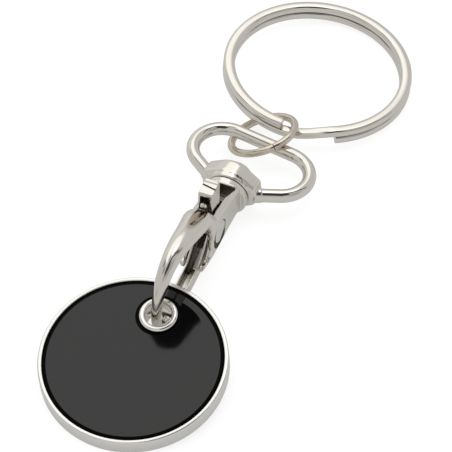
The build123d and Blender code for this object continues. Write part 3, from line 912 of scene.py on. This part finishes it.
def makeKeyRing(shape):
    pitch = shape["height"] + shape["turnGap"]
    middle = shape["outer"] - shape["width"] / 2
    piece = startPiece("key_ring_wire", bpy.ops.mesh.primitive_plane_add, size=1)
    workOn(piece)
    bpy.ops.transform.resize(value=(shape["width"], shape["height"], 1))
    bpy.ops.mesh.bevel(offset=shape["corner"], segments=shape["cornerSteps"], affect="VERTICES")
    bpy.ops.mesh.delete(type="ONLY_FACE")
    out, way = outAndOn(shape["lowerCut"])
    layAcross(piece, out * middle + Vector((0, 0, -pitch / 2)), way, out)
    jog = shape["lowerCut"] - shape["upperCut"]
    turn, steps = 360 - jog, shape["climbSteps"]
    bendRound((0, 0, 0), turn, shape["turnSteps"])
    for k in range(steps):   # the wire climbs from the lower turn to the upper one
        climb = pitch * (math.cos(math.pi * k / steps) - math.cos(math.pi * (k + 1) / steps)) / 2
        bendRound((0, 0, 0), jog / steps, 1, climb)
    bendRound((0, 0, 0), turn, shape["turnSteps"])
    tidyMesh(piece)
    setDown(piece, leaningPlace(shape["middle"], shape["slopes"]))
    return piece


ringPiece = makeKeyRing(ringShape)
finishPiece(ringPiece, "key_ring", ["split_ring"], wirePlate, ringShape["smoothAngle"])
print("rings ready")


# Spring

# its front leg lies along the gate, from legFrom to legTo
springShape = {"legFrom": (0.0, -6.9, 3.5), "legTo": (0.0, -10.5, 1.8), "smoothAngle": 50}
springPiece = copyOfNode("closing_spring", "gate_spring")
finishPiece(springPiece, None, ["gate_spring"], springShadeFinish, springShape["smoothAngle"])
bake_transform(springPiece)
print("spring ready")


# Table, light and camera

white = (1, 1, 1)
tableShape = {"size": 3.0, "colour": (0.3, 0.3, 0.3), "cameraGlow": 0.8, "metalGlow": 0.34}


def seenByMetal(tree, rays):
    return calculate(tree, "MAXIMUM", rays.outputs["Is Glossy Ray"], rays.outputs["Is Transmission Ray"])


def rayShares(tree, forCamera, forMetal):   # a strength that depends on what sees the surface
    rays = addNode(tree, "ShaderNodeLightPath")
    byCamera = calculate(tree, "MULTIPLY", rays.outputs["Is Camera Ray"], forCamera)
    return calculate(tree, "MULTIPLY_ADD", seenByMetal(tree, rays), forMetal, byCamera)


def tableTop(name, look):
    material, tree = newMaterial(name)
    paper = addNode(tree, "ShaderNodeBsdfDiffuse", Color=look["colour"])
    strength = rayShares(tree, look["cameraGlow"], look["metalGlow"])
    glow = addNode(tree, "ShaderNodeEmission", Color=white, Strength=strength)
    both = combine(tree, "ShaderNodeAddShader", None, paper.outputs[0], glow.outputs[0])
    addNode(tree, "ShaderNodeOutputMaterial", Surface=both)
    return material


floor = startPiece("table_top", bpy.ops.mesh.primitive_plane_add, size=tableShape["size"])
floor.data.materials.append(tableTop("whiteTable", tableShape))

tentShape = {
    "light": 0.62,   # what the tent gives to the table and the enamel
    "plain": 0.6,   # its cloth as the metal sees it
    "cloth": (1, 0.99, 0.975),
    "darkest": 0.02,
    # panels and gaps: azimuth from +Y towards +X, height, full and fading radius in degrees, and the change
    # of brightness
    "panels": (
        (-36, 60, 23, 31, 0.6),
        (14, 66, 9, 15, 0.42),
        (88, 76, 7, 12, -0.4),
        (129, 66, 11, 18, -0.55),
        (320, 81, 5, 8, -0.9),
        (269, 50, 5, 9, -0.55),
        (321.04, 66.73, 0.37, 0.41, -1.3),   # six small ones in a row: a dark stand, mirrored in the enamel
        (321.46, 66.63, 0.37, 0.41, -1.3),
        (321.9, 66.52, 0.37, 0.41, -1.3),
        (322.3, 66.44, 0.37, 0.41, -1.3),
        (322.64, 66.35, 0.37, 0.41, -1.3),
        (322.98, 66.3, 0.37, 0.41, -1.3),
        (146, 48, 5, 12, -0.3),
        (225, 64, 5, 11, -0.38),
        (50, 70, 6, 9, -0.6),   # four, one below the other, that darken the arm's flank
        (52, 57, 5, 8, -0.55),
        (59, 45, 4, 6.5, -0.5),
        (61, 34, 3.5, 6, -0.45),
        (100, 42, 12, 24, -0.2),
        (205, 8, 10, 18, -0.14),
        (310, 12, 18, 30, 0.15),
    ),
}


def wayTo(azimuth, height):
    turn, lift = math.radians(azimuth), math.radians(height)
    return Vector((math.sin(turn) * math.cos(lift), math.cos(turn) * math.cos(lift), math.sin(lift)))


def tentLight(tree, look):   # the cloth of the tent with its panels and gaps, by the direction looked in
    looking = addNode(tree, "ShaderNodeTexCoord").outputs["Generated"]
    level = look["plain"]
    for azimuth, height, full, fade, change in look["panels"]:
        facing = addNode(tree, "ShaderNodeVectorMath", {"operation": "DOT_PRODUCT"})
        feed(tree, facing.inputs[0], looking)
        feed(tree, facing.inputs[1], wayTo(azimuth, height))
        start, end = math.cos(math.radians(fade)), math.cos(math.radians(full))
        patch = spread(tree, facing.outputs["Value"], 0.0, change, start, end, "SMOOTHSTEP")
        level = calculate(tree, "ADD", level, patch)
    return calculate(tree, "MAXIMUM", level, look["darkest"])


world = bpy.data.worlds.new("tent")
bpy.context.scene.world = world
world.use_nodes = True
tent = world.node_tree
tent.nodes.clear()
rays = addNode(tent, "ShaderNodeLightPath")
clothLight = tentLight(tent, tentShape)
metalView = addNode(tent, "ShaderNodeBackground", Color=tentShape["cloth"], Strength=clothLight)
plainLight = addNode(tent, "ShaderNodeBackground", Color=white, Strength=tentShape["light"])
plainView = addNode(tent, "ShaderNodeBackground", Color=white, Strength=1.0)
toMetal = combine(tent, "ShaderNodeMixShader", None, seenByMetal(tent, rays), plainLight.outputs[0],
                  metalView.outputs[0])
toCamera = combine(tent, "ShaderNodeMixShader", None, rays.outputs["Is Camera Ray"], toMetal,
                   plainView.outputs[0])
addNode(tent, "ShaderNodeOutputWorld", Surface=toCamera)


def setUp(name, data, place, target):   # a camera or a lamp, aimed at the target
    thing = bpy.data.objects.new(name, data)
    bpy.context.scene.collection.objects.link(thing)
    thing.location = place
    thing.rotation_euler = (Vector(target) - Vector(place)).to_track_quat("-Z", "Y").to_euler()
    return thing


cameraShape = {
    "place": (0.0901, -0.23155, 0.28525),
    "target": (-0.000784, -0.000816, -0.000026),
    "lens": 236.5,
    "sensor": 36,
    "clipStart": 0.01,
    "clipEnd": 20,
}
cameraData = bpy.data.cameras.new("camera")
cameraData.lens = cameraShape["lens"]
cameraData.sensor_width = cameraShape["sensor"]
cameraData.clip_start = cameraShape["clipStart"]
cameraData.clip_end = cameraShape["clipEnd"]
bpy.context.scene.camera = setUp("camera", cameraData, cameraShape["place"], cameraShape["target"])
bpy.context.scene.view_settings.view_transform = "Standard"

lampShape = (
    {"name": "lampAbove", "place": (0.0, 0.1, 0.7), "size": 0.6, "power": 1.6},
    {"name": "lampLeft", "place": (-0.6, -0.1, 0.4), "size": 0.4, "power": 0.8},
)
for lamp in lampShape:
    lampData = bpy.data.lights.new(lamp["name"], "AREA")
    lampData.size = lamp["size"]
    lampData.energy = lamp["power"]
    light = setUp(lamp["name"], lampData, lamp["place"], (0, 0, 0))
    light.visible_glossy = False   # the tent's panels are what the metal mirrors
print("stage set")
